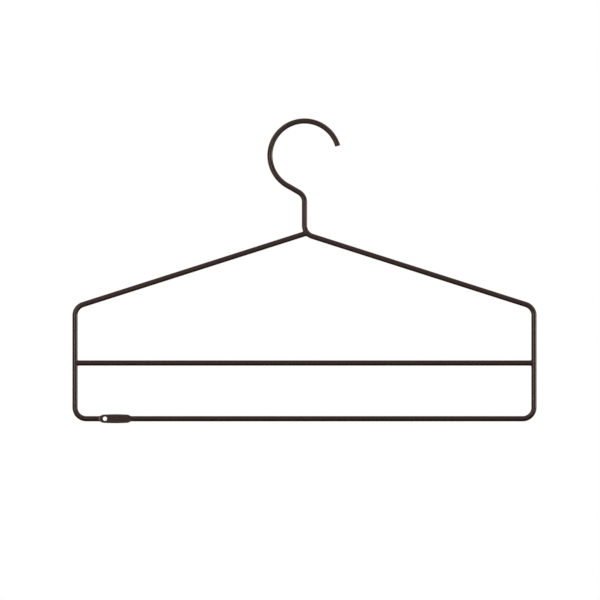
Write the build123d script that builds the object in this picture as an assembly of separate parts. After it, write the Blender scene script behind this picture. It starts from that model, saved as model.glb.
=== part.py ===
from build123d import *
import math
import os

# A trouser hanger bent from one steel wire, with a straight crossbar of the same wire welded
# across it. Millimetres, +Z up, X along the shoulders and Y through the wire. The origin is the
# place where the hanger rests on a rail, at the top of the hook's inner curve, and the hook
# opens towards +X. Heights and lengths of the wires are between centrelines.

# Wire of the frame and the crossbar
wire_diameter = 5.2  # 5 mm wire with 0.1 mm of powder coat all round
bend_radius = 11.0  # of the centreline, in the neck and at the four corners

# Hook and neck
hook_inner_diameter = 61.8
hook_tip_angle = 16.0  # degrees above the hook's centre, where the wire is cut off
tip_chamfer = 0.4
jog_angle = 30.0  # degrees below level, where the hook runs straight into the neck
neck_length = 37.2  # between the two corners that the neck's bends round off

# Body
overall_width = 450.0
shoulder_angle = 17.7  # degrees below level
side_height = 108.2  # from the shoulder's corner to the bottom bar
crossbar_height = 54.0  # above the bottom bar

# Flat that is coined into the bottom bar and punched for a tag
tag_distance = 23.2  # from the left side to the start of the spread wire
tag_length = 31.8  # of the spread wire
tag_thickness = 2.6
tag_spread_length = 4.3  # at either end, where the wire spreads to the flat's width
tag_face_inset = 1.4  # from either end of the spread wire to the flat faces
tag_ramp_length = 2.2  # from the flat faces up to the round wire
tag_hole_diameter = 4.0
tag_hole_distance = 5.8  # from the start of the spread wire
tag_shoulder_share = 0.8  # of the growth in width, reached at the end of the spread
tag_sections = 5  # drawn along each spread, and along each half of the barrel between them

# Welds
weld_root_gap = 0.4  # between the two wires, filled by the weld
weld_leg = 0.8  # reach of the bead along either wire
weld_crown = 0.12  # how far the bead stands proud of the wire, front and back
weld_hollow_shares = (0.75, 0.25)  # of the leg, which the bead keeps on its way to the branch

# Sizes that follow from the ones above
wire_radius = wire_diameter / 2
half_width = overall_width / 2 - wire_radius
hook_radius = hook_inner_diameter / 2 + wire_radius
shoulder_slope = math.radians(shoulder_angle)
hook_centre = Vector(0, -hook_inner_diameter / 2)
neck_top = hook_centre - Vector(0, hook_radius / math.cos(math.radians(jog_angle)))
apex = neck_top - Vector(0, neck_length)
right_shoulder = apex + Vector(half_width, -half_width * math.tan(shoulder_slope))
left_shoulder = apex + Vector(-half_width, -half_width * math.tan(shoulder_slope))
right_corner = right_shoulder - Vector(0, side_height)
left_corner = left_shoulder - Vector(0, side_height)
tag_start = left_corner + Vector(tag_distance, 0)
tag_end = tag_start + Vector(tag_length, 0)

# The left shoulder's centreline meets the bend under the neck at the neck seat
shoulder_rise = Vector(math.cos(shoulder_slope), math.sin(shoulder_slope))
bend_reach = bend_radius * math.tan((math.pi / 2 - shoulder_slope) / 2)
bend_centre = apex + Vector(bend_radius, bend_reach)
seat_chord = (bend_centre - apex).dot(shoulder_rise)
neck_seat = apex + shoulder_rise * (seat_chord - math.sqrt(seat_chord**2 - bend_reach**2))


def place(point, depth=0):
    """A point of the front view, at a depth through the wire."""
    return Vector(point.X, depth, point.Y)


def rod(path, radius=wire_radius):
    """A round bar along a path that is drawn in the front view."""
    spine = Wire((Plane.XZ * path).edges())
    section = Plane(origin=spine @ 0, z_dir=spine % 0) * Circle(radius)
    return sweep(section, path=spine)


def neck_path():
    """The centreline from the neck's top through the bend under it to the right shoulder."""
    return FilletPolyline(neck_top, apex, right_shoulder, radius=bend_radius)


def right_length():
    """The wire from the hook's tip round to the coined flat."""
    hook_sweep = 270 - jog_angle - hook_tip_angle
    hook = CenterArc(hook_centre, hook_radius, hook_tip_angle, hook_sweep)
    corners = (hook @ 1, neck_top, apex, right_shoulder, right_corner, tag_end)
    length = rod(hook + FilletPolyline(*corners, radius=bend_radius))
    tip = length.faces().filter_by(GeomType.PLANE).sort_by(Axis.Z)[-1]
    return chamfer(tip.edges(), tip_chamfer)


def left_length():
    """The wire from the coined flat round to the neck, where its end is coped to the bend."""
    corners = (tag_start, left_corner, left_shoulder, neck_seat)
    length = rod(FilletPolyline(*corners, radius=bend_radius))
    return length - rod(neck_path(), wire_radius + weld_root_gap)


def coined_width(distance):
    """Width of the coined wire at a distance from its start.

    It eases out from the round wire over the spread length, and swells on as a slight barrel to
    the middle, where the section has the same area as the round wire.
    """
    full_width = math.pi * wire_radius**2 / tag_thickness + tag_thickness * (1 - math.pi / 4)
    from_end = min(distance, tag_length - distance)
    spread = min(from_end / tag_spread_length, 1)
    inward = max(from_end - tag_spread_length, 0) / (tag_length / 2 - tag_spread_length)
    shoulder = tag_shoulder_share * spread**2 * (3 - 2 * spread)
    barrel = (1 - tag_shoulder_share) * (1 - (1 - inward) ** 2)
    return wire_diameter + (full_width - wire_diameter) * (shoulder + barrel)


def coined_blank():
    """The spread wire before its faces are pressed flat: the wider it is, the less deep."""
    barrel = tag_length / 2 - tag_spread_length
    half = [tag_spread_length * step / tag_sections for step in range(tag_sections)]
    half += [tag_spread_length + barrel * step / tag_sections for step in range(tag_sections)]
    distances = half + [tag_length / 2] + [tag_length - distance for distance in reversed(half)]
    sections = []
    for distance in distances:
        half_width_here = coined_width(distance) / 2
        depth = wire_radius * math.sqrt(wire_radius / half_width_here)
        middle = place(tag_start + Vector(distance, 0))
        plane = Plane(origin=middle, x_dir=(0, 1, 0), z_dir=(1, 0, 0))
        sections.append(plane * Ellipse(depth, half_width_here))
    return loft(sections)


def die():
    """The die behind the wire, which presses one flat face with a ramp at either end."""
    face = tag_thickness / 2
    face_end = tag_length / 2 - tag_face_inset
    back = wire_diameter
    back_end = face_end + tag_ramp_length * (back - face) / (wire_radius - face)
    corners = [(-back_end, back), (-face_end, face), (face_end, face), (back_end, back)]
    profile = make_face(Polyline(*corners, close=True))
    middle = place((tag_start + tag_end) / 2)
    return Pos(*middle) * extrude(profile, amount=coined_width(tag_length / 2), both=True)


def tag_hole():
    """The punch that goes through the flat."""
    middle = place(tag_start + Vector(tag_hole_distance, 0))
    return Plane(origin=middle, z_dir=(0, 1, 0)) * Cylinder(tag_hole_diameter / 2, wire_diameter)


def frame_wire():
    """The whole bent wire, open where its coped end stops short of the neck."""
    wire = right_length() + coined_blank() + left_length()
    return wire - die() - mirror(die(), about=Plane.XZ) - tag_hole()


def crossbar():
    """The straight wire between the sides, coped to them at both ends."""
    rise = Vector(0, crossbar_height)
    bar = rod(Line(left_corner + rise, right_corner + rise))
    for top, bottom in ((left_shoulder, left_corner), (right_shoulder, right_corner)):
        bar -= rod(Line(top, bottom), wire_radius + weld_root_gap)
    return bar


def weld_bead(seat, branch, seam):
    """A bead round a branch wire, from inside the wire that it meets to its feathered edge.

    The seat is where the two centrelines meet, the branch points away from it along the branch
    wire, and the seam is square to the other wire's surface there.
    """
    slant = 1 / branch.dot(seam)
    hollow_foot, hollow_top = weld_hollow_shares
    root = wire_radius + weld_root_gap
    stations = (
        (0, weld_leg, -weld_crown),
        (wire_radius, weld_leg * hollow_foot, weld_crown),
        (root + weld_leg / 2, weld_leg * hollow_top, weld_crown),
        (root + weld_leg, -weld_crown, -weld_crown),
    )
    sections = []
    for height, spread, crown in stations:
        middle = seat + branch * height * slant
        plane = Plane(origin=place(middle), x_dir=(0, 1, 0), z_dir=place(seam))
        sections.append(plane * Ellipse(wire_radius + crown, wire_radius * slant + spread))
    return loft(sections)


os.makedirs("parts", exist_ok=True)

frame = frame_wire()
bar = crossbar()
bar_rise = Vector(0, crossbar_height)
left_bead = weld_bead(left_corner + bar_rise, Vector(1, 0), Vector(1, 0))
right_bead = weld_bead(right_corner + bar_rise, Vector(-1, 0), Vector(-1, 0))
neck_bead = weld_bead(neck_seat, -shoulder_rise, (neck_seat - bend_centre).normalized())

export_step(frame, "parts/frame_wire.step")
export_step(bar, "parts/crossbar.step")
export_step(neck_bead - frame, "parts/neck_weld.step")
export_step(left_bead - frame - bar, "parts/crossbar_weld_left.step")
export_step(right_bead - frame - bar, "parts/crossbar_weld_right.step")
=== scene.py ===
import math
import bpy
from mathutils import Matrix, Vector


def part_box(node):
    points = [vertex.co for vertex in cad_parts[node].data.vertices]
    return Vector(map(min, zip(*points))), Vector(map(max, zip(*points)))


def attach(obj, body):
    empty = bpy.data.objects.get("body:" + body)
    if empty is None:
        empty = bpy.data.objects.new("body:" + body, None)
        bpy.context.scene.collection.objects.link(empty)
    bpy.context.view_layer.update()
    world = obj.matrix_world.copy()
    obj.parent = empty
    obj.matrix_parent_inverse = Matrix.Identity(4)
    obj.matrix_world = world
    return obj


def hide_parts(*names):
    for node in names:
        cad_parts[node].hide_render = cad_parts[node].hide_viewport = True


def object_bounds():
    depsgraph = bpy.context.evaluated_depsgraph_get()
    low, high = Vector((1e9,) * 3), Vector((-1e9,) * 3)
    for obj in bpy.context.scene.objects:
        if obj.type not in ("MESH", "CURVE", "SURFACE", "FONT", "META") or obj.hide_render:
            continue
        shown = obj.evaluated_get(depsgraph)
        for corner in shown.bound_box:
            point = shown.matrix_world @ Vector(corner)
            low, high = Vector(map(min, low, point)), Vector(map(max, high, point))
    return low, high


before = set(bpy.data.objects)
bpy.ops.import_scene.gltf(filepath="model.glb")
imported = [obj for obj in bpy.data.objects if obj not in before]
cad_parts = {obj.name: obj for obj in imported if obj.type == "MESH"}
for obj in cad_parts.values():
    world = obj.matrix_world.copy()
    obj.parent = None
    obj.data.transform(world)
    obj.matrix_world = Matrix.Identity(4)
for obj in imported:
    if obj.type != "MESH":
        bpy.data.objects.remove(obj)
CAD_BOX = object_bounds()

from types import SimpleNamespace

import bpy
import numpy as np
from bpy.props import FloatProperty, FloatVectorProperty, PointerProperty
from mathutils import Vector

bl_info = {
    "name": "Trouser Hanger",
    "version": (1, 0, 0),
    "blender": (4, 5, 0),
    "location": "View3D > Sidebar > Hanger",
    "description": "Coated wire trouser hanger, fitted over its CAD frame",
    "category": "Object",
}

MM = 0.001
ROUND_SIDES = 96  # faces round a wire; a bead has twice as many
ARC_STEP = 0.55 * MM  # between stations along the small bends
HOOK_STEP = 1.1 * MM  # between stations along the hook
FLAT_STEP = 0.15 * MM  # between stations along the coined flat
END_STEP = 0.3 * MM  # from a buried end to the ring before it, which keeps the shading true
TIP_RINGS = 6  # round the edge of the cut end
CLOSING_RINGS = 3  # from the mesh of the flat in to the hole's lip
LIP_RINGS = 5  # round the lip of the hole
BAR_RINGS = 41  # along the crossbar
BEAD_ROWS = 21  # across a bead, from one wire to the other
BEAD_MOVES = 14  # in which a bead's points come to lie on its surface
HALVINGS = 40  # of the range in which a wire's end is looked for
NUDGE = 0.01 * MM  # over which a slope is measured, and within which a wire counts as level
BODY = "root"

# Weld beads
BRANCH_REACH = 20  # wire diameters of the branch that a bead is blended with
LEAST_OPENING = 0.25  # sine of the angle between two surfaces, below which a bead gets no wider
LEAST_SLOPE = 0.2  # of the blended distance, so that no point of a bead moves too far at once
RIPPLES = 17  # round a bead
RIPPLE_SWAY = 1.2  # of the ripples to and fro, in radians of their own wave
RIPPLE_SWAYS = 3  # round a bead
RIPPLE_SLANT = 2.5  # radians of the sway's wave, from the middle of the bead to its edge
# The rings that close a bead inside the wires: shares of the radius, and of the way from the
# middle of the bead to its edge.
INNER_RADII = (0.75, 0.5, 0.5, 0.75)
INNER_CLIMBS = (0.6, 0.3, -0.3, -0.6)

# Where the coat is worn
LIP_WEAR = 0.7  # where the cut end and the edges left by the die have 1
EDGE_REACH = 3  # of the wear beside an edge, as a multiple of its rounding
SEAT_REACH = 9 * MM  # of the polish along the hook
SEAT_NARROWING = 2  # of the polish through the wire, against its reach along the hook
SEAT_DEPTH = 2 * MM  # up the wire, over which the polish fades
SEAT_BOTTOM = -5 * MM  # below which there is none

# Shine of the coat: a little stronger than a plain plastic's, and tinted by the brown film
COAT_IOR = 1.5
COAT_SPECULAR = 0.6
COAT_TINT = (1.0, 0.77, 0.71)
WELD_PEEL = 1.4  # times the orange peel of the wires, because powder gathers round a bead

# Stage, in metres and degrees
SHEET_LINES = 5  # of a sheet's grid, each way
FLOOR_SIZE = 16
FLOOR_ROUGHNESS = 0.8
CARD_SIZE = (1.2, 0.8)
CARD_RISE = 0.04  # above the floor
CARD_ROUGHNESS = 0.9
LAMP_DISTANCE = 4.0
# Each lamp's name, azimuth (0 is in front and 90 at the hook's open side), elevation, width and
# height as the hanger sees them, and the setting that gives its brightness.
LAMPS = (
    ("front_left_softbox", -20, 0, 20, 20, "key"),
    ("right_softbox", 79, 0, 54, 20, "side"),
    ("back_right_strip", 130, 0, 30, 24, "rim"),
    ("back_left_strip", -130, 0, 30, 24, "rim"),
    ("right_wing", 85, 38, 50, 45, "wings"),
    ("left_wing", -85, 38, 50, 45, "wings"),
)
BEHIND = 0.87  # cosine of the angle round straight behind, within which reflections are white
CAMERA_PLACE = (-0.00436, -1.4, -0.1709)
CAMERA_WIDTH = 0.58152  # of the square that it sees


def linear(hex_colour):
    """Linear RGB of an sRGB hex colour, by the sRGB curve."""
    channels = np.array([int(hex_colour[i:i + 2], 16) for i in (1, 3, 5)]) / 255
    curved = ((channels + 0.055) / 1.055) ** 2.4
    return tuple(np.where(channels <= 0.04045, channels / 12.92, curved))


def length(name, description, millimetres):
    """A length in metres, with its default given in millimetres."""
    return FloatProperty(
        name=name, description=description, default=millimetres * MM,
        min=0, precision=5, subtype="DISTANCE", unit="LENGTH",
    )


def angle(name, description, degrees):
    """An angle, with its default given in degrees."""
    return FloatProperty(
        name=name, description=description, default=math.radians(degrees),
        subtype="ANGLE", unit="ROTATION",
    )


def share(name, description, default):
    """A number from 0 to 1."""
    return FloatProperty(
        name=name, description=description, default=default, min=0, max=1, subtype="FACTOR",
    )


def level(name, description, default):
    """The brightness of a lamp's face, where 1 shows as white."""
    return FloatProperty(name=name, description=description, default=default, min=0)


def colour(name, description, hex_colour):
    """A colour, with its default given as sRGB hex."""
    return FloatVectorProperty(
        name=name, description=description, default=linear(hex_colour),
        size=3, min=0, max=1, subtype="COLOR",
    )


# Sizes that the CAD frame gives, in millimetres
FRAME_LOW, FRAME_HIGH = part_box("frame_wire")
WIRE_DIAMETER = round((FRAME_HIGH.y - FRAME_LOW.y) / MM, 2)
OVERALL_WIDTH = round((FRAME_HIGH.x - FRAME_LOW.x) / MM, 2)


class HangerWireSizes(bpy.types.PropertyGroup):
    """Sizes of the bent wire and the crossbar."""

    diameter: length("Wire diameter", "Of the frame and the crossbar", WIRE_DIAMETER)
    bend_radius: length("Bend radius", "Of the centreline, at the neck and the corners", 11)
    hook_inner_diameter: length("Hook inner diameter", "Clear circle inside the hook", 61.8)
    hook_tip_angle: angle("Hook tip angle", "Above the hook's centre, where the wire ends", 16)
    tip_rounding: length("Tip rounding", "Edge radius of the cut end", 0.4)
    jog_angle: angle("Jog angle", "Below level, where the hook runs into the neck", 30)
    neck_length: length("Neck length", "Between the corners above and below the neck", 37.2)
    overall_width: length("Overall width", "Over the two sides", OVERALL_WIDTH)
    shoulder_angle: angle("Shoulder angle", "Below level", 17.7)
    side_height: length("Side height", "From the shoulder's corner to the bottom bar", 108.2)
    crossbar_height: length("Crossbar height", "Above the bottom bar", 54)


class HangerFlatSizes(bpy.types.PropertyGroup):
    """Sizes of the coined flat in the bottom bar, and of its hole."""

    distance: length("Distance", "From the left side to the start of the spread wire", 23.2)
    span: length("Length", "Of the spread wire", 31.8)
    thickness: length("Thickness", "Between the flat faces", 2.6)
    spread_length: length("Spread length", "Over which the wire gains its width", 4.3)
    face_inset: length("Face inset", "From the end of the spread wire to the flat face", 1.4)
    ramp_length: length("Ramp length", "From the flat face up to the round wire", 2.2)
    shoulder_share: share("Shoulder share", "Of the width gained at the end of the spread", 0.8)
    edge_rounding: length("Edge rounding", "Softness of the edges left by the die", 0.22)
    hole_diameter: length("Hole diameter", "Of the punched hole", 4)
    hole_distance: length("Hole distance", "From the start of the spread wire", 5.8)
    hole_rounding: length("Hole rounding", "Edge radius of the hole", 0.25)


class HangerWeldSizes(bpy.types.PropertyGroup):
    """Sizes of the three welds."""

    burial: length("Burial", "How far a wire's end reaches into the wire it meets", 0.8)
    hollow: length("Hollow", "Width over which a bead blends two wires at right angles", 0.95)
    toe: length("Toe", "Least reach of the bead past the hollow, along either wire", 0.08)
    sink: length("Sink", "How deep the bead's edges lie under the coat of the wires", 0.03)
    crown: length("Crown", "How far the bead stands proud of the hollow", 0.03)
    ripple: length("Ripple", "Depth of the ripples round the bead", 0.03)


class HangerCoatLook(bpy.types.PropertyGroup):
    """Colours and finish of the powder coat."""

    brown: colour("Brown", "Main colour of the coat", "#281914")
    deep_brown: colour("Deep brown", "Where the coat is thick", "#241612")
    worn_brown: colour("Thin brown", "Where the coat is thin, on edges", "#493a34")
    roughness: share("Roughness", "Of the satin coat", 0.22)
    seat_roughness: share("Seat roughness", "Where the hook's seat is polished by use", 0.14)
    peel_size: length("Orange peel size", "Spacing of the soft waves in the coat", 1.3)
    peel_depth: length("Orange peel depth", "Height of the soft waves in the coat", 0.06)
    grain_size: length("Grain size", "Spacing of the fine texture", 0.4)
    grain_depth: length("Grain depth", "Height of the fine texture", 0.016)
    cloud_size: length("Cloud size", "Spacing of the slow changes in thickness", 38)


class HangerStageLook(bpy.types.PropertyGroup):
    """Floor, lamps and background."""

    floor_drop: length("Floor drop", "From the hook's seat down to the floor", 500)
    floor: colour("Floor", "Plain pale floor", "#f1f0ee")
    card: colour("Card", "Dark card that keeps the floor's shine off the undersides", "#444444")
    room: share("Room level", "Plain light from all round", 0.1)
    dome: share("Dome level", "Light that the room's upper half adds", 0.6)
    zenith: share("Zenith share", "Of the dome's light that is lost straight overhead", 0.5)
    key: level("Key level", "Brightness of the front left softbox", 4.1)
    side: level("Side level", "Brightness of the softbox on the right", 3.1)
    rim: level("Rim level", "Brightness of the strips behind on both sides", 0.8)
    wings: level("Wings level", "Brightness of the large softboxes high on both sides", 0.5)


def heading(angles):
    """Unit vectors as (x, z) in the hanger's plane: the cosine and sine of each angle."""
    return np.stack([np.cos(angles), np.sin(angles)], axis=-1)


def across(angles):
    """Unit vectors a quarter turn anticlockwise of the heading."""
    return np.stack([-np.sin(angles), np.cos(angles)], axis=-1)


def round_turn(sides=ROUND_SIDES):
    """Even turns round a wire from -180 to 180 degrees, without the last, where 0 is its front."""
    return np.linspace(-math.pi, math.pi, sides, endpoint=False)


def tip_turn():
    """Even turns over a quarter circle, without the last: one for each ring of the cut end."""
    return np.linspace(0, math.pi / 2, TIP_RINGS + 1)[:-1]


def bend(start, angle_in, turn, radius, step):
    """Stations round an arc: its centre is one radius to the side that it turns to, and each
    station lies one radius back from there, across its own heading. Returns points and angles."""
    side = math.copysign(radius, turn)
    count = math.ceil(abs(turn) * radius / step) + 1
    angles = angle_in + turn * np.linspace(0, 1, count)
    centre = start + side * across(np.array(angle_in))
    return centre - side * across(angles), angles


def rounded_run(corners, radius, step):
    """Stations along straight runs whose corners are rounded: each arc starts before its corner
    by the radius times the tangent of half the turn. The ends are left square."""
    corners = np.array(corners)
    runs = np.diff(corners, axis=0)
    angles = np.unwrap(np.arctan2(runs[:, 1], runs[:, 0]))
    turns = np.diff(angles)
    starts = corners[1:-1] - (radius * np.tan(abs(turns) / 2))[:, None] * heading(angles[:-1])
    arcs = [bend(*bend_args, radius, step) for bend_args in zip(starts, angles, turns)]
    points = [corners[:1], *(arc[0] for arc in arcs), corners[-1:]]
    headings = [angles[:1], *(arc[1] for arc in arcs), angles[-1:]]
    return np.concatenate(points), np.concatenate(headings)


def outline(wire):
    """Where the straight runs of the hanger's outline would meet, as (x, z), in metres."""
    radius = wire.diameter / 2
    half_width = wire.overall_width / 2 - radius
    hook_radius = wire.hook_inner_diameter / 2 + radius
    hook_centre = np.array([0, -wire.hook_inner_diameter / 2])
    neck_top = hook_centre - [0, hook_radius / math.cos(wire.jog_angle)]
    apex = neck_top - [0, wire.neck_length]
    drop = half_width * math.tan(wire.shoulder_angle)
    rise = heading(np.array(wire.shoulder_angle))
    reach = wire.bend_radius * math.tan((math.pi / 2 - wire.shoulder_angle) / 2)
    chord = np.array([wire.bend_radius, reach]) @ rise
    return SimpleNamespace(
        hook_centre=hook_centre, hook_radius=hook_radius, neck_top=neck_top, apex=apex,
        right_shoulder=apex + [half_width, -drop],
        left_shoulder=apex + [-half_width, -drop],
        right_corner=apex + [half_width, -drop - wire.side_height],
        left_corner=apex + [-half_width, -drop - wire.side_height],
        seat=apex + rise * (chord - math.sqrt(chord**2 - reach**2)),
    )


def gap_to_path(points, path):
    """Distance from each point (x, y, z) to a path of straight pieces in the hanger's plane:
    the least, over the pieces, of the distance to the nearest place along that piece."""
    start, run = path[:-1], np.diff(path, axis=0)
    away = points[..., None, [0, 2]] - start
    along = np.clip((away * run).sum(-1) / (run**2).sum(-1), 0, 1)
    flat = away - along[..., None] * run
    return np.sqrt((flat**2).sum(-1).min(-1) + points[..., 1] ** 2)


def slope_of(distance, points):
    """The direction in which a distance grows at each point, from its change over one nudge to
    either side along each axis."""
    nudges = np.eye(3) * NUDGE
    changes = [distance(points + nudge) - distance(points - nudge) for nudge in nudges]
    return np.stack(changes, -1) / (2 * NUDGE)


def solve_back(base, direction, path, reach, furthest):
    """How far each base point moves along the direction until it is the reach away from a path,
    by halving the range again and again."""
    low, high = np.zeros(base.shape[:-1]), np.full(base.shape[:-1], furthest)
    for _ in range(HALVINGS):
        middle = (low + high) / 2
        near = gap_to_path(base + middle[..., None] * direction, path) < reach
        low, high = np.where(near, middle, low), np.where(near, high, middle)
    return high


def soft_limit(size, limit, rounding):
    """The smaller of size and limit, rounded off where they are within the rounding of each
    other: the minimum, less a quarter of the rounding times the squared overlap."""
    overlap = np.clip(1 - abs(size - limit) / rounding, 0, None)
    return np.minimum(size, limit) - rounding * overlap**2 / 4


def soft_excess(value, rounding):
    """The value above zero and nothing below, eased by a parabola one rounding to either side."""
    eased = np.clip(value + rounding, 0, None) ** 2 / (4 * rounding)
    return np.where(value > rounding, value, eased)


def numbered(rings, first=0):
    """The index of each point of the rings, in their own order."""
    return first + np.arange(rings.shape[0] * rings.shape[1]).reshape(rings.shape[:2])


def ring_faces(rings):
    """Quads between neighbouring rings of indices, each ring closed on itself."""
    following = np.roll(rings, -1, axis=1)
    return np.stack([rings[:-1], following[:-1], following[1:], rings[1:]], axis=-1).reshape(-1, 4)


def fan_faces(ring, centre, outward):
    """Triangles from a ring of indices to one centre."""
    pair = (ring, np.roll(ring, -1)) if outward else (np.roll(ring, -1), ring)
    return np.stack([*pair, np.full(len(ring), centre)], axis=-1)


def make_piece(name, points, faces, material, slot, node, **marks):
    """A smooth mesh object from points and index arrays, which stands for a CAD node. Points that
    no face uses are left out. The marks are numbers at its points, which the material reads."""
    used = np.unique(np.concatenate([group.ravel() for group in faces]))
    place = np.zeros(len(points), int)
    place[used] = np.arange(len(used))
    mesh = bpy.data.meshes.new(name)
    mesh.from_pydata(points[used], [], [face for group in faces for face in place[group].tolist()])
    mesh.polygons.foreach_set("use_smooth", np.ones(len(mesh.polygons), bool))
    for mark, values in marks.items():
        mesh.attributes.new(mark, "FLOAT", "POINT").data.foreach_set(
            "value", values[used].astype(np.float32))
    mesh.materials.append(material)
    if mesh.validate():
        raise RuntimeError(f"{name}: the mesh had faces that Blender had to mend")
    piece = bpy.data.objects.new(name, mesh)
    bpy.context.scene.collection.objects.link(piece)
    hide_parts(node)
    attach(piece, BODY)
    return piece


def wire_path(wire, flat):
    """Stations of the whole bent wire, from the hook's tip to the seat under the neck."""
    at = outline(wire)
    tip_angle = wire.hook_tip_angle
    tip = at.hook_centre + at.hook_radius * heading(np.array(tip_angle))
    # The cut end's edge is a quarter circle, so its stations bunch up towards the end.
    rounding = wire.tip_rounding * (1 - np.cos(tip_turn()))
    tip_angles = tip_angle + math.pi / 2 + rounding / at.hook_radius
    tip_points = at.hook_centre - at.hook_radius * across(tip_angles)
    turned = wire.tip_rounding / at.hook_radius
    hook_turn = math.radians(270) - wire.jog_angle - tip_angle - turned
    start = at.hook_centre + at.hook_radius * heading(np.array(tip_angle + turned))
    hook = bend(start, tip_angle + turned + math.pi / 2, hook_turn, at.hook_radius, HOOK_STEP)

    # The close stations reach past the ramps by a few times the rounding of their edges.
    reach = flat.ramp_length - flat.face_inset + 4 * flat.edge_rounding
    flat_x = at.left_corner[0] + flat.distance
    right_end = np.array([flat_x + flat.span + reach, at.left_corner[1]])
    left_end = np.array([flat_x - reach, at.left_corner[1]])
    count = math.ceil((right_end[0] - left_end[0]) / FLAT_STEP)
    pressed = np.linspace(right_end, left_end, count)[1:-1]
    corners = (hook[0][-1], at.neck_top, at.apex, at.right_shoulder, at.right_corner, right_end)
    right = rounded_run(corners, wire.bend_radius, ARC_STEP)
    corners = (left_end, at.left_corner, at.left_shoulder, at.seat)
    left = rounded_run(corners, wire.bend_radius, ARC_STEP)
    straight = np.full(len(pressed), right[1][-1])
    left_angles = left[1] - left[1][0] + right[1][-1]
    seat = left[0][-1:]
    before_seat = seat - END_STEP * heading(left[1][-1:])
    runs = (tip_points, hook[0], right[0][1:], pressed, left[0][:-1], before_seat, seat)
    points = np.concatenate(runs)
    angles = np.concatenate([
        tip_angles, hook[1], right[1][1:], straight, left_angles, left_angles[-1:]])
    return tip, points, angles


def neck_path(wire):
    """The centreline that the left shoulder's end meets: neck, bend and right shoulder."""
    at = outline(wire)
    corners = (at.neck_top, at.apex, at.right_shoulder)
    return rounded_run(corners, wire.bend_radius, ARC_STEP / 4)[0]


def coined_half_width(distance, wire, flat):
    """Half width of the pressed wire at a distance from its start: it eases out over the spread
    length by a smooth step, and swells on as a parabola to the middle, where the section has the
    round wire's area."""
    full = math.pi * (wire.diameter / 2) ** 2 / flat.thickness + flat.thickness * (1 - math.pi / 4)
    from_end = np.minimum(distance, flat.span - distance)
    spread = np.clip(from_end / flat.spread_length, 0, 1)
    inward = np.clip((from_end - flat.spread_length) / (flat.span / 2 - flat.spread_length), 0, 1)
    shoulder = flat.shoulder_share * spread**2 * (3 - 2 * spread)
    barrel = (1 - flat.shoulder_share) * (1 - (1 - inward) ** 2)
    return (wire.diameter + (full - wire.diameter) * (shoulder + barrel)) / 2


def wire_sections(wire, flat, points, angles):
    """Half width, half depth and die height at each station. Along the flat the section is an
    ellipse, the wider the less deep, cut off by the die, whose height rises along its ramps."""
    at = outline(wire)
    radius = wire.diameter / 2
    distance = points[:, 0] - at.left_corner[0] - flat.distance
    bottom = abs(points[:, 1] - at.left_corner[1]) < MM / 100
    half_width = np.where(bottom, coined_half_width(distance, wire, flat), radius)
    half_depth = radius * np.sqrt(radius / half_width)
    rise = (radius - flat.thickness / 2) / flat.ramp_length
    beyond = abs(distance - flat.span / 2) - (flat.span / 2 - flat.face_inset)
    die = flat.thickness / 2 + rise * soft_excess(beyond, flat.edge_rounding)
    return half_width, half_depth, np.where(bottom, die, wire.diameter)


def tube(points, angles, half_width, half_depth, die, rounding):
    """Rings of points round a path: the half width times the sine across the path, and the half
    depth times the cosine through it, held inside the die. The middle column is the front."""
    turn = round_turn()
    depth = half_depth[:, None] * np.cos(turn)
    depth = np.sign(depth) * np.clip(soft_limit(abs(depth), die[:, None], rounding), 0, None)
    width = half_width[:, None] * np.sin(turn)
    spot = points[:, None] + width[..., None] * across(angles)[:, None]
    return np.stack([spot[..., 0], -depth, spot[..., 1]], axis=-1), turn


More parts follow.
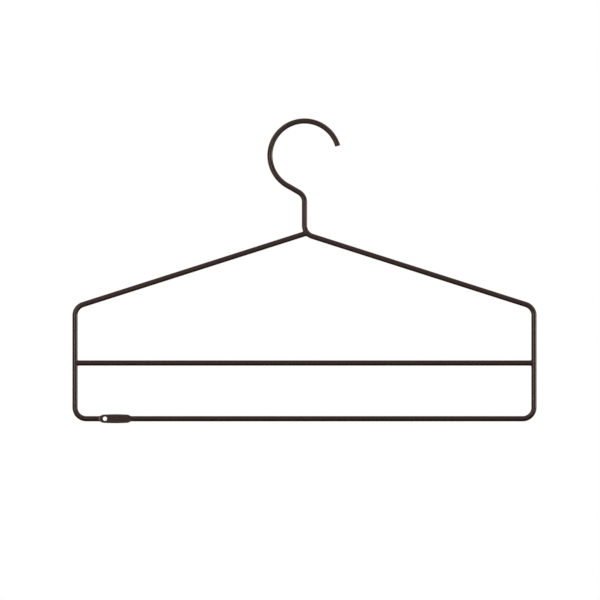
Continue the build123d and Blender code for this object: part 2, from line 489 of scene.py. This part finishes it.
def punched_hole(rings, skipped, hole, radius, rounding):
    """Points and faces of a round hole through the flat, numbered on from the rings' own points
    and the skipped ones. A block of quads is left open in front and behind. From each block's
    edge, rings close in on the hole's circle along lines from its centre, turn over a
    quarter-round lip, and run through to the other side."""
    front = ROUND_SIDES // 2
    reach = radius + rounding + FLAT_STEP
    rows = np.flatnonzero(abs(rings[:, front, 0] - hole[0]) < reach + FLAT_STEP)
    rows = rows[abs(rings[rows, front, 2] - hole[1]) < MM]
    first, last = rows[0], rows[-1]
    middle = rings[(first + last) // 2]
    wide = next(k for k in range(1, front) if abs(middle[front + k, 2] - hole[1]) > reach)
    offsets = np.arange(-wide, wide + 1)
    row_run, row_back = np.arange(first, last), np.arange(last, first, -1)
    edge_rows = np.concatenate([
        np.full(2 * wide, first), row_run, np.full(2 * wide, last), row_back])
    edge_columns = np.concatenate([
        offsets[:-1], np.full(len(row_run), wide), offsets[:0:-1], np.full(len(row_back), -wide)])
    front_edge = edge_rows * ROUND_SIDES + (front + edge_columns) % ROUND_SIDES
    back_edge = edge_rows * ROUND_SIDES + (-edge_columns) % ROUND_SIDES
    flat_points = rings.reshape(-1, 3)
    edge = flat_points[front_edge][:, [0, 2]] - hole
    face = abs(flat_points[front_edge][:, 1]).mean()
    outer = np.hypot(*edge.T)
    ray = edge / outer[:, None]
    closing = np.linspace(1, 0, CLOSING_RINGS + 1)[1:, None]
    lip = np.linspace(0, math.pi / 2, LIP_RINGS + 1)[1:, None]
    lip_radius = radius + rounding * (1 - np.sin(lip))
    radii = np.concatenate([
        radius + rounding + closing * (outer - radius - rounding),
        np.broadcast_to(lip_radius, (len(lip), len(outer)))])
    lip_depth = face - rounding * (1 - np.cos(lip))
    depths = np.concatenate([np.full(closing.shape, face), lip_depth])
    spots = hole + radii[..., None] * ray
    made = np.stack([spots[..., 0], np.broadcast_to(-depths, radii.shape), spots[..., 1]], -1)
    mirrored = made[::-1] * [1, -1, 1]
    new = np.concatenate([made, mirrored])
    base = len(flat_points) + skipped
    loops = np.concatenate([front_edge[None], numbered(new, base), back_edge[None]])
    open_front = (first, last, (front + offsets[:-1]) % ROUND_SIDES)
    open_back = (first, last, (-offsets[1:]) % ROUND_SIDES)
    lip_rows = np.arange(len(new)) % len(made) >= len(closing)
    lip_rows[len(made):] = lip_rows[:len(made)][::-1]
    return new.reshape(-1, 3), loops, (open_front, open_back), np.repeat(lip_rows, new.shape[1])


def frame_wire_mesh(wire, flat, weld):
    """Points, faces and marks of the whole bent wire."""
    tip, points, angles = wire_path(wire, flat)
    half_width, half_depth, die = wire_sections(wire, flat, points, angles)
    shrink = wire.tip_rounding * (1 - np.sin(tip_turn()))
    half_width[:TIP_RINGS] -= shrink
    half_depth[:TIP_RINGS] -= shrink
    rings, turn = tube(points, angles, half_width, half_depth, die, flat.edge_rounding)

    # The far end is coped to the neck, and reaches into it by the burial.
    direction = np.insert(heading(angles[-1]), 1, 0)
    path = neck_path(wire)
    reach = wire.diameter / 2 - weld.burial
    back = solve_back(rings[-1], -direction, path, reach, wire.diameter)
    rings[-2:] -= back[:, None] * direction

    at = outline(wire)
    centres = np.array([np.insert(tip, 1, 0), rings[-1].mean(axis=0)])
    hole = at.left_corner + [flat.distance + flat.hole_distance, 0]
    extra, loops, openings, lip = punched_hole(
        rings, len(centres), hole, flat.hole_diameter / 2, flat.hole_rounding)
    grid = numbered(rings)
    quads = ring_faces(grid)[:, ::-1].reshape(len(rings) - 1, ROUND_SIDES, 4)
    closed = np.ones(quads.shape[:2], bool)
    for first, last, columns in openings:
        closed[first:last, columns] = False
    everything = np.concatenate([rings.reshape(-1, 3), centres, extra])
    faces = [
        quads[closed],
        ring_faces(loops)[:, ::-1],
        fan_faces(grid[0], grid.size, True),
        fan_faces(grid[-1], grid.size + 1, False),
    ]
    # Where the coat is thin: the cut end, the die's edges and the hole's lip.
    pressed = np.clip((half_depth - die) / flat.edge_rounding, 0, 1)[:, None]
    crease = half_width * np.sqrt(np.clip(1 - (die / half_depth) ** 2, 0, 1))
    off_crease = half_width[:, None] * abs(np.sin(turn)) - crease[:, None]
    edge = pressed * np.exp(-((off_crease / (EDGE_REACH * flat.edge_rounding)) ** 2))
    edge[:TIP_RINGS] = 1
    thin = np.concatenate([edge.ravel(), [1, 0], LIP_WEAR * lip])
    # Where use polishes the hook's seat: the inner side of the wire, near the origin.
    away = np.hypot(everything[:, 0], everything[:, 1] * SEAT_NARROWING)
    fade = np.clip(1 - everything[:, 2] / SEAT_DEPTH, 0, 1)
    seat = np.exp(-((away / SEAT_REACH) ** 2)) * fade
    seat[everything[:, 2] < SEAT_BOTTOM] = 0
    return everything, faces, thin, seat


def crossbar_mesh(wire, weld):
    """A straight tube between the sides: each line along it ends where it has gone into the side
    wire by the burial, or at that wire's middle, so both ends are coped."""
    at = outline(wire)
    radius = wire.diameter / 2
    turn = round_turn()
    depth, width = radius * np.cos(turn), radius * np.sin(turn)
    reach = np.sqrt(np.clip((radius - weld.burial) ** 2 - depth**2, 0, None))
    half = at.right_corner[0] - reach
    along = np.linspace(1, -1, BAR_RINGS)[:, None] * (half - END_STEP)
    along = np.concatenate([half[None], along, -half[None]])
    height = at.left_corner[1] + wire.crossbar_height + width
    rings = np.stack(np.broadcast_arrays(along, -depth, height), -1)
    grid = numbered(rings)
    centres = rings[[0, -1]].mean(axis=1)
    faces = [
        ring_faces(grid),
        fan_faces(grid[0], grid.size, False),
        fan_faces(grid[-1], grid.size + 1, True),
    ]
    return np.concatenate([rings.reshape(-1, 3), centres]), faces


def weld_mesh(wire, weld, seat, branch, path, phase):
    """A bead round a branch wire where it meets a path. Its rows cross the corner between the two
    wires, along the surface of either one, and each point is moved along the slope of their
    blended distance until it lies on the blend: the smaller of the two distances, rounded off by
    the hollow. The hollow grows with the squared sine of the turn round the branch, because the
    wires are level in front and behind. The bead closes through the inside of both wires."""
    radius = wire.diameter / 2
    turn = round_turn(ROUND_SIDES * 2)
    direction = np.insert(branch, 1, 0)
    side = np.cross([0, 1, 0], direction)
    start = np.insert(seat, 1, 0)
    ring = np.cos(turn)[:, None] * [0, -1, 0] + np.sin(turn)[:, None] * side
    meet = solve_back(start + radius * ring, direction, path, radius, 2 * wire.diameter)
    steepness = np.sin(turn) ** 2
    hollow = weld.hollow * steepness + weld.sink
    meeting = start + radius * ring + meet[:, None] * direction
    met_normal = slope_of(lambda points: gap_to_path(points, path), meeting)
    along_met = ring - (ring * met_normal).sum(-1, keepdims=True) * met_normal
    opening = np.clip(np.linalg.norm(along_met, axis=-1, keepdims=True), LEAST_OPENING, None)
    width = hollow[:, None] / opening + weld.toe
    rows = np.linspace(-1, 1, BEAD_ROWS)[:, None]
    flare = np.clip(-rows, 0, None)[..., None] * along_met / opening
    climb = np.clip(rows, 0, None)[..., None] * direction
    outer = meeting + width * (flare + climb)
    line = np.stack([seat, seat + branch * BRANCH_REACH * wire.diameter])

    def blend(points):
        first = gap_to_path(points, path) - radius
        second = gap_to_path(points, line) - radius
        return soft_limit(first, second, hollow)

    arch = np.sqrt(np.cos(math.pi / 2 * rows).clip(0))
    sway = RIPPLE_SWAY * np.sin(RIPPLE_SWAYS * turn + RIPPLE_SLANT * rows)
    ripple = weld.ripple * np.sin(RIPPLES * turn + phase + sway)
    lift = (weld.crown + weld.sink + ripple * arch) * arch * steepness - weld.sink
    for _ in range(BEAD_MOVES):
        slope = slope_of(blend, outer)
        size = np.linalg.norm(slope, axis=-1, keepdims=True)
        move = (blend(outer) - lift)[..., None] * slope
        outer = outer - move / np.clip(size, LEAST_SLOPE, None) ** 2
    inner_radius = radius * np.array(INNER_RADII)[:, None, None]
    inner_climb = np.array(INNER_CLIMBS)[:, None] * (hollow + weld.toe)
    inner = start + inner_radius * ring + (meet + inner_climb)[..., None] * direction
    rings = np.concatenate([outer, inner])
    grid = numbered(rings)
    grid = np.concatenate([grid, grid[:1]])
    return rings.reshape(-1, 3), [ring_faces(grid)]


def add_node(tree, kind, inputs=(), **settings):
    """Adds a node with its settings. Each input, by name or number, is a value or a socket."""
    node = tree.nodes.new(kind)
    for name, value in settings.items():
        setattr(node, name, value)
    for name, value in dict(inputs).items():
        if isinstance(value, bpy.types.NodeSocket):
            tree.links.new(value, node.inputs[name])
        else:
            node.inputs[name].default_value = value
    return node


def new_material(name):
    """A material with an empty node tree, and that tree."""
    material = bpy.data.materials.new(name)
    material.use_nodes = True
    material.node_tree.nodes.clear()
    return material, material.node_tree


def opaque(rgb):
    """A colour with its alpha."""
    return (*rgb, 1.0)


def powder_coat(look, name, peel_share):
    """Polyester powder coat on steel wire, sprayed dry and baked: a closed satin film with soft
    waves (orange peel) and a fine texture, which give the eye broken, slightly grainy highlights.
    It is deeper brown where it is thick, and lighter and drier where it is thin on edges."""
    material, tree = new_material(name)
    place = add_node(tree, "ShaderNodeTexCoord").outputs["Object"]
    cloud = add_node(tree, "ShaderNodeTexNoise", {
        "Vector": place, "Scale": 1 / look.cloud_size, "Detail": 2.0})
    film = add_node(tree, "ShaderNodeMapRange", {
        "Value": cloud.outputs["Fac"], "From Min": 0.35, "From Max": 0.65})
    brown = add_node(tree, "ShaderNodeMix", {
        0: film.outputs["Result"], 6: opaque(look.brown), 7: opaque(look.deep_brown)},
        data_type="RGBA")
    # Real powder grain is about 0.1 mm. It is drawn at the grain size so that it shows.
    grain = add_node(tree, "ShaderNodeTexNoise", {
        "Vector": place, "Scale": 1 / look.grain_size, "Detail": 3.0, "Roughness": 0.6})
    thin = add_node(tree, "ShaderNodeAttribute", attribute_name="thin_coat")
    patchy = add_node(tree, "ShaderNodeMapRange", {
        "Value": grain.outputs["Fac"], "From Min": 0.3, "From Max": 0.7,
        "To Min": 0.15, "To Max": 0.75})
    thinness = add_node(tree, "ShaderNodeMath", {
        0: thin.outputs["Fac"], 1: patchy.outputs["Result"]}, operation="MULTIPLY")
    coloured = add_node(tree, "ShaderNodeMix", {
        0: thinness.outputs[0], 6: brown.outputs[2], 7: opaque(look.worn_brown)}, data_type="RGBA")
    seat = add_node(tree, "ShaderNodeAttribute", attribute_name="seat_wear")
    satin = add_node(tree, "ShaderNodeMapRange", {
        "Value": grain.outputs["Fac"], "From Min": 0.25, "From Max": 0.75,
        "To Min": look.roughness - 0.02, "To Max": look.roughness + 0.03})
    rough = add_node(tree, "ShaderNodeMix", {
        0: seat.outputs["Fac"], 2: satin.outputs["Result"], 3: look.seat_roughness},
        data_type="FLOAT")
    peel = add_node(tree, "ShaderNodeTexNoise", {
        "Vector": place, "Scale": 1 / look.peel_size, "Detail": 1.0})
    waves = add_node(tree, "ShaderNodeBump", {
        "Height": peel.outputs["Fac"], "Strength": 1.0, "Distance": look.peel_depth * peel_share})
    texture = add_node(tree, "ShaderNodeBump", {
        "Height": grain.outputs["Fac"], "Strength": 1.0, "Distance": look.grain_depth,
        "Normal": waves.outputs["Normal"]})
    surface = add_node(tree, "ShaderNodeBsdfPrincipled", {
        "Base Color": coloured.outputs[2], "Roughness": rough.outputs[0], "IOR": COAT_IOR,
        "Specular IOR Level": COAT_SPECULAR, "Specular Tint": opaque(COAT_TINT),
        "Normal": texture.outputs["Normal"]})
    add_node(tree, "ShaderNodeOutputMaterial", {"Surface": surface.outputs["BSDF"]})
    return material


def wire_coat(look):
    """The coat of the wires, which is made once."""
    name = "powder_coat_satin_brown"
    return bpy.data.materials.get(name) or powder_coat(look, name, 1.0)


def plain_surface(name, rgb, roughness):
    """A plain matt surface for the stage."""
    material, tree = new_material(name)
    surface = add_node(tree, "ShaderNodeBsdfPrincipled", {
        "Base Color": opaque(rgb), "Roughness": roughness, "Specular IOR Level": 0.2})
    add_node(tree, "ShaderNodeOutputMaterial", {"Surface": surface.outputs["BSDF"]})
    return material


def stage_sheet(name, centre, width, depth, material):
    """A level sheet of the stage: a grid over its width and depth."""
    side = np.linspace(-0.5, 0.5, SHEET_LINES)
    across_sheet, along_sheet = np.meshgrid(side, side)
    x, y = centre[0] + width * across_sheet, centre[1] + depth * along_sheet
    points = np.stack([x, y, np.full(x.shape, centre[2])], -1).reshape(-1, 3)
    grid = numbered(x)
    corners = (grid[:-1, :-1], grid[:-1, 1:], grid[1:, 1:], grid[1:, :-1])
    faces = np.stack(corners, -1).reshape(-1, 4)
    mesh = bpy.data.meshes.new(name)
    mesh.from_pydata(points, [], faces.tolist())
    mesh.materials.append(material)
    sheet = bpy.data.objects.new(name, mesh)
    bpy.context.scene.collection.objects.link(sheet)
    return sheet


def softbox(name, target, azimuth, elevation, wide, tall, brightness):
    """A rectangular lamp aimed at the target, which sees it so many degrees wide and tall. Its
    power is its brightness times its area times pi, so its size doesn't change how bright its
    reflection is."""
    lamp = bpy.data.lights.new(name, "AREA")
    lamp.shape = "RECTANGLE"
    lamp.size = 2 * LAMP_DISTANCE * math.tan(math.radians(wide / 2))
    lamp.size_y = 2 * LAMP_DISTANCE * math.tan(math.radians(tall / 2))
    lamp.energy = brightness * lamp.size * lamp.size_y * math.pi
    a, e = math.radians(azimuth), math.radians(elevation)
    away = Vector((math.sin(a) * math.cos(e), -math.cos(a) * math.cos(e), math.sin(e)))
    holder = bpy.data.objects.new(name, lamp)
    bpy.context.scene.collection.objects.link(holder)
    holder.location = Vector(target) + away * LAMP_DISTANCE
    holder.rotation_euler = away.to_track_quat("Z", "Y").to_euler()
    holder.visible_camera = False
    return holder


def studio_world(look):
    """Plain room light, dim at eye level and below, and brighter above, with a darker zenith. The
    camera sees white past the floor, and so do reflections of what lies behind the hanger, within
    about 30 degrees of straight behind."""
    world = bpy.data.worlds.new("studio")
    bpy.context.scene.world = world
    world.use_nodes = True
    tree = world.node_tree
    tree.nodes.clear()
    rays = add_node(tree, "ShaderNodeLightPath")
    place = add_node(tree, "ShaderNodeTexCoord")
    axes = add_node(tree, "ShaderNodeSeparateXYZ", {0: place.outputs["Generated"]})
    behind = add_node(tree, "ShaderNodeMath", {
        0: axes.outputs["Y"], 1: BEHIND}, operation="GREATER_THAN")
    mirrored = add_node(tree, "ShaderNodeMath", {
        0: rays.outputs["Is Glossy Ray"], 1: rays.outputs["Is Transmission Ray"]},
        operation="MAXIMUM")
    back = add_node(tree, "ShaderNodeMath", {
        0: mirrored.outputs[0], 1: behind.outputs[0]}, operation="MULTIPLY")
    seen = add_node(tree, "ShaderNodeMath", {
        0: rays.outputs["Is Camera Ray"], 1: back.outputs[0]}, operation="MAXIMUM")
    dome = add_node(tree, "ShaderNodeMapRange", {
        "Value": axes.outputs["Z"], "From Min": 0.05, "From Max": 0.5, "To Max": look.dome},
        interpolation_type="SMOOTHSTEP")
    zenith = add_node(tree, "ShaderNodeMapRange", {
        "Value": axes.outputs["Z"], "From Min": 0.7, "From Max": 1.0, "To Min": 1.0,
        "To Max": 1 - look.zenith}, interpolation_type="SMOOTHSTEP")
    level_above = add_node(tree, "ShaderNodeMath", {
        0: dome.outputs["Result"], 1: zenith.outputs["Result"], 2: look.room},
        operation="MULTIPLY_ADD")
    room = add_node(tree, "ShaderNodeBackground", {
        "Color": (1, 1, 1, 1), "Strength": level_above.outputs[0]})
    white = add_node(tree, "ShaderNodeBackground", {"Color": (1, 1, 1, 1), "Strength": 1.0})
    mixed = add_node(tree, "ShaderNodeMixShader", {
        0: seen.outputs[0], 1: room.outputs[0], 2: white.outputs[0]})
    add_node(tree, "ShaderNodeOutputWorld", {"Surface": mixed.outputs[0]})


class HANGER_OT_bend_frame_wire(bpy.types.Operator):
    """Bend the frame wire: hook, neck, shoulders, sides and bottom bar with its coined flat"""

    bl_idname = "hanger.bend_frame_wire"
    bl_label = "Bend frame wire"

    def execute(self, context):
        settings = context.scene
        points, faces, thin, seat = frame_wire_mesh(
            settings.hanger_wire, settings.hanger_flat, settings.hanger_weld)
        coat = wire_coat(settings.hanger_coat)
        make_piece("frame_wire_coated", points, faces, coat, "powder_coat", "frame_wire",
                   thin_coat=thin, seat_wear=seat)
        return {"FINISHED"}


class HANGER_OT_cut_crossbar(bpy.types.Operator):
    """Cut the straight crossbar and cope its ends to the sides"""

    bl_idname = "hanger.cut_crossbar"
    bl_label = "Cut crossbar"

    def execute(self, context):
        settings = context.scene
        points, faces = crossbar_mesh(settings.hanger_wire, settings.hanger_weld)
        coat = wire_coat(settings.hanger_coat)
        make_piece("crossbar_coated", points, faces, coat, "powder_coat", "crossbar")
        return {"FINISHED"}


class HANGER_OT_lay_welds(bpy.types.Operator):
    """Lay the neck weld and the two crossbar welds"""

    bl_idname = "hanger.lay_welds"
    bl_label = "Lay welds"

    def execute(self, context):
        settings = context.scene
        wire, weld = settings.hanger_wire, settings.hanger_weld
        at = outline(wire)
        coat = powder_coat(settings.hanger_coat, "powder_coat_over_weld", WELD_PEEL)
        rise = np.array([0, wire.crossbar_height])
        slope = -heading(np.array(wire.shoulder_angle))
        left_side = np.stack([at.left_corner, at.left_shoulder])
        right_side = np.stack([at.right_corner, at.right_shoulder])
        beads = (
            ("neck_weld", at.seat, slope, neck_path(wire), 0.0),
            ("crossbar_weld_left", at.left_corner + rise, np.array([1.0, 0]), left_side, 1.0),
            ("crossbar_weld_right", at.right_corner + rise, np.array([-1.0, 0]), right_side, 2.5),
        )
        for node, seat, branch, path, phase in beads:
            points, faces = weld_mesh(wire, weld, seat, branch, path, phase)
            make_piece(f"{node}_coated", points, faces, coat, "weld_coat", node)
        return {"FINISHED"}


class HANGER_OT_set_stage(bpy.types.Operator):
    """Set the floor, the dark card, the lamps, the background and the camera"""

    bl_idname = "hanger.set_stage"
    bl_label = "Set stage"

    def execute(self, context):
        look = context.scene.hanger_stage
        centre = (CAD_BOX[0] + CAD_BOX[1]) / 2
        floor = plain_surface("painted_floor", look.floor, FLOOR_ROUGHNESS)
        stage_sheet("floor", (0, 0, -look.floor_drop), FLOOR_SIZE, FLOOR_SIZE, floor)
        # A dark card under the hanger, which only reflections show.
        dark = plain_surface("dark_card", look.card, CARD_ROUGHNESS)
        card = stage_sheet("undercard", (0, 0, -look.floor_drop + CARD_RISE), *CARD_SIZE, dark)
        card.visible_camera = False
        card.visible_diffuse = False
        card.visible_shadow = False
        for name, *place, setting in LAMPS:
            softbox(name, centre, *place, getattr(look, setting))
        studio_world(look)
        context.scene.view_settings.view_transform = "Standard"
        camera = bpy.data.cameras.new("front_camera")
        camera.type = "ORTHO"
        camera.ortho_scale = CAMERA_WIDTH
        holder = bpy.data.objects.new("front_camera", camera)
        context.scene.collection.objects.link(holder)
        holder.location = CAMERA_PLACE
        holder.rotation_euler = (math.pi / 2, 0, 0)
        context.scene.camera = holder
        return {"FINISHED"}


class HANGER_PT_sidebar(bpy.types.Panel):
    """The hanger's sizes, looks and steps"""

    bl_idname = "HANGER_PT_sidebar"
    bl_label = "Trouser Hanger"
    bl_space_type = "VIEW_3D"
    bl_region_type = "UI"
    bl_category = "Hanger"

    def draw(self, context):
        for title, group in GROUPS.items():
            box = self.layout.box()
            box.label(text=group.__doc__)
            for name in group.__annotations__:
                box.prop(getattr(context.scene, title), name)
        for step in STEPS:
            self.layout.operator(step.bl_idname)


GROUPS = {
    "hanger_wire": HangerWireSizes,
    "hanger_flat": HangerFlatSizes,
    "hanger_weld": HangerWeldSizes,
    "hanger_coat": HangerCoatLook,
    "hanger_stage": HangerStageLook,
}
STEPS = (
    HANGER_OT_bend_frame_wire, HANGER_OT_cut_crossbar, HANGER_OT_lay_welds, HANGER_OT_set_stage)


def register():
    """Registers the classes, and hangs the settings on the scene."""
    for item in (*GROUPS.values(), *STEPS, HANGER_PT_sidebar):
        bpy.utils.register_class(item)
    for name, group in GROUPS.items():
        setattr(bpy.types.Scene, name, PointerProperty(type=group))


def unregister():
    """Takes the settings off the scene, and the classes away."""
    for name in GROUPS:
        delattr(bpy.types.Scene, name)
    for item in (HANGER_PT_sidebar, *STEPS, *GROUPS.values()):
        bpy.utils.unregister_class(item)


def main():
    """Registers, and runs every step."""
    register()
    for step in STEPS:
        group, name = step.bl_idname.split(".")
        getattr(getattr(bpy.ops, group), name)()


if __name__ == "__main__":
    main()
